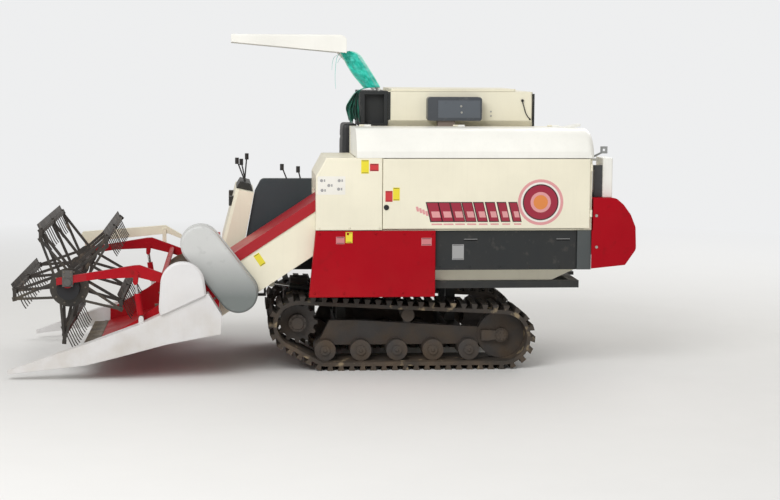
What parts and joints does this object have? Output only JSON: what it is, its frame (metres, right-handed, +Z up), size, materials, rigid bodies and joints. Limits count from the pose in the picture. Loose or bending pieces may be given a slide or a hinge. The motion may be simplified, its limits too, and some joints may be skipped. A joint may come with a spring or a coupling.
{
  "type": "combine harvester",
  "caption": "Tracked combine harvester: reel and cutting header, feeder house, threshing body with opening side door and hood, grain tank, and an open operator's station under a canopy.",
  "frame": {"origin": "on the ground, midway along the machine and midway between its sides", "axes": "X forward, Y to the machine's left, Z up"},
  "size_m": [5.163, 2.38, 2.804],
  "materials": {
    "cream_paint": "gloss",
    "white_paint": "gloss",
    "red_paint": "gloss",
    "dark_paint": "satin",
    "blue_grey_paint": "satin",
    "grey_metal": "satin",
    "bare_steel": "worn",
    "chrome_rod": "polished",
    "track_rubber": "matte",
    "soft_rubber": "matte",
    "cast_iron": "rough",
    "black_plastic": "matte",
    "seat_vinyl": "satin",
    "net_cloth": "woven"
  },
  "bodies": {
    "chassis": {"track_left": "track_rubber", "track_right": "track_rubber", "track_frames": "cast_iron", "sprockets": "cast_iron", "gearbox": "cast_iron", "cross_beams": "dark_paint", "chassis_frame": "dark_paint", "thresher_housing": "cream_paint", "side_panel_front": "cream_paint", "lower_panel_red": "red_paint", "lower_panel_dark": "dark_paint", "rear_corner_panel": "blue_grey_paint", "side_drive": "cast_iron", "rear_hood": "red_paint", "straw_flap": "soft_rubber", "rear_box": "white_paint", "grain_tank": "cream_paint", "tank_base": "cream_paint", "elevator_head": "grey_metal", "intake_box": "dark_paint", "engine_block": "cast_iron", "engine_cover": "cream_paint", "operator_floor": "dark_paint", "front_cowl": "cream_paint", "side_console": "dark_paint", "levers": "black_plastic", "seat_cushion": "seat_vinyl", "seat_backrest": "seat_vinyl", "handrail": "dark_paint", "canopy": "white_paint", "canopy_posts": "white_paint", "shade_cloth": "net_cloth"},
    "header": {"feeder_house": "cream_paint", "header_frame": "red_paint", "dividers": "white_paint", "cutter_bar": "bare_steel", "dome_cover": "white_paint", "drive_cover": "grey_metal"},
    "knife": {"knife": "bare_steel"},
    "auger": {"auger": "bare_steel"},
    "lift_barrel": {"lift_barrel": "dark_paint"},
    "lift_rod": {"lift_rod": "chrome_rod"},
    "reel_arms": {"reel_arms": "red_paint", "reel_drive_cover": "cream_paint"},
    "reel": {"reel_spider": "bare_steel"},
    "reel_ring": {"reel_ring": "black_plastic"},
    "reel_barrel_left": {"reel_barrel_left": "red_paint"},
    "reel_barrel_right": {"reel_barrel_right": "red_paint"},
    "reel_rod_left": {"reel_rod_left": "chrome_rod"},
    "reel_rod_right": {"reel_rod_right": "chrome_rod"},
    "side_door": {"side_door": "cream_paint"},
    "hood": {"hood": "white_paint"},
    "tank_lid": {"tank_lid": "cream_paint"},
    "bag_platform": {"bag_platform": "grey_metal"},
    "radiator_screen": {"radiator_screen": "black_plastic"},
    "tine_bar_1": {"tine_bar_1": "bare_steel"},
    "tine_bar_2": {"tine_bar_2": "bare_steel"},
    "tine_bar_3": {"tine_bar_3": "bare_steel"},
    "tine_bar_4": {"tine_bar_4": "bare_steel"},
    "tine_bar_5": {"tine_bar_5": "bare_steel"}
  },
  "joints": [
    {"name": "header_lift", "type": "hinge", "parent": "chassis", "child": "header", "pos_m": [0.075, 0.55, 1.365], "axis": [0, -1, 0], "range_deg": [0, 18]},
    {"name": "lift_barrel_pivot", "type": "hinge", "parent": "chassis", "child": "lift_barrel", "pos_m": [-0.04, 0.315, 0.6], "axis": [0, -1, 0], "range_deg": [-1, 11]},
    {"name": "lift_rod_slide", "type": "slide", "parent": "lift_barrel", "child": "lift_rod", "axis": [0.9864, 0, 0.1644], "range_m": [-0.005, 0.232]},
    {"name": "knife_stroke", "type": "slide", "parent": "header", "child": "knife", "axis": [0, 1, 0], "range_m": [-0.038, 0.038]},
    {"name": "auger_spin", "type": "hinge", "parent": "header", "child": "auger", "pos_m": [1.17, 0, 0.605], "axis": [0, 1, 0], "continuous": true},
    {"name": "reel_lift", "type": "hinge", "parent": "header", "child": "reel_arms", "pos_m": [1.085, 0, 0.735], "axis": [0, -1, 0], "range_deg": [0, 15]},
    {"name": "reel_spin", "type": "hinge", "parent": "reel_arms", "child": "reel", "pos_m": [2.09, 0, 0.8], "axis": [0, 1, 0], "continuous": true},
    {"name": "reel_ring_spin", "type": "hinge", "parent": "reel_arms", "child": "reel_ring", "pos_m": [2.09, 0.95, 0.74], "axis": [0, 1, 0], "continuous": true},
    {"name": "tine_bar_1_pivot", "type": "hinge", "parent": "reel", "child": "tine_bar_1", "pos_m": [2.53017, 0, 0.70644], "axis": [0, 1, 0], "continuous": true},
    {"name": "tine_bar_2_pivot", "type": "hinge", "parent": "reel", "child": "tine_bar_2", "pos_m": [2.315, 0, 1.18971], "axis": [0, 1, 0], "continuous": true},
    {"name": "tine_bar_3_pivot", "type": "hinge", "parent": "reel", "child": "tine_bar_3", "pos_m": [1.78889, 0, 1.13441], "axis": [0, 1, 0], "continuous": true},
    {"name": "tine_bar_4_pivot", "type": "hinge", "parent": "reel", "child": "tine_bar_4", "pos_m": [1.67891, 0, 0.61697], "axis": [0, 1, 0], "continuous": true},
    {"name": "tine_bar_5_pivot", "type": "hinge", "parent": "reel", "child": "tine_bar_5", "pos_m": [2.13704, 0, 0.35246], "axis": [0, 1, 0], "continuous": true},
    {"name": "reel_barrel_left_pivot", "type": "hinge", "parent": "header", "child": "reel_barrel_left", "pos_m": [1.508, 1.0875, 0.505], "axis": [0, -1, 0], "range_deg": [-1, 8]},
    {"name": "reel_rod_left_slide", "type": "slide", "parent": "reel_barrel_left", "child": "reel_rod_left", "axis": [0.1433, 0, 0.9897], "range_m": [-0.005, 0.122]},
    {"name": "reel_barrel_right_pivot", "type": "hinge", "parent": "header", "child": "reel_barrel_right", "pos_m": [1.508, -1.0875, 0.505], "axis": [0, -1, 0], "range_deg": [-1, 8]},
    {"name": "reel_rod_right_slide", "type": "slide", "parent": "reel_barrel_right", "child": "reel_rod_right", "axis": [0.1433, 0, 0.9897], "range_m": [-0.005, 0.122]},
    {"name": "side_door_hinge", "type": "hinge", "parent": "chassis", "child": "side_door", "pos_m": [-2.197, 0.944, 1.495], "axis": [0, 0, 1], "range_deg": [0, 100]},
    {"name": "hood_hinge", "type": "hinge", "parent": "chassis", "child": "hood", "pos_m": [-1.234, 0.176, 2.027], "axis": [1, 0, 0], "range_deg": [0, 75]},
    {"name": "tank_lid_hinge", "type": "hinge", "parent": "chassis", "child": "tank_lid", "pos_m": [-1.35, -0.84, 2.327], "axis": [1, 0, 0], "range_deg": [0, 100]},
    {"name": "bag_platform_hinge", "type": "hinge", "parent": "chassis", "child": "bag_platform", "pos_m": [-1.23, -0.925, 0.7], "axis": [1, 0, 0], "range_deg": [0, 90]},
    {"name": "radiator_screen_hinge", "type": "hinge", "parent": "chassis", "child": "radiator_screen", "pos_m": [-0.576, -0.942, 1.08], "axis": [0, 0, -1], "range_deg": [0, 110]}
  ],
  "couplings": [
    {"joint": "lift_barrel_pivot", "follows": "header_lift", "ratio": 0.50626},
    {"joint": "lift_rod_slide", "follows": "header_lift", "m_per_rad": 0.71934},
    {"joint": "reel_ring_spin", "follows": "reel_spin", "ratio": 1},
    {"joint": "tine_bar_1_pivot", "follows": "reel_spin", "ratio": -1},
    {"joint": "tine_bar_2_pivot", "follows": "reel_spin", "ratio": -1},
    {"joint": "tine_bar_3_pivot", "follows": "reel_spin", "ratio": -1},
    {"joint": "tine_bar_4_pivot", "follows": "reel_spin", "ratio": -1},
    {"joint": "tine_bar_5_pivot", "follows": "reel_spin", "ratio": -1},
    {"joint": "reel_barrel_left_pivot", "follows": "reel_lift", "ratio": 0.44615},
    {"joint": "reel_rod_left_slide", "follows": "reel_lift", "m_per_rad": 0.44364},
    {"joint": "reel_barrel_right_pivot", "follows": "reel_lift", "ratio": 0.44615},
    {"joint": "reel_rod_right_slide", "follows": "reel_lift", "m_per_rad": 0.44364}
  ]
}
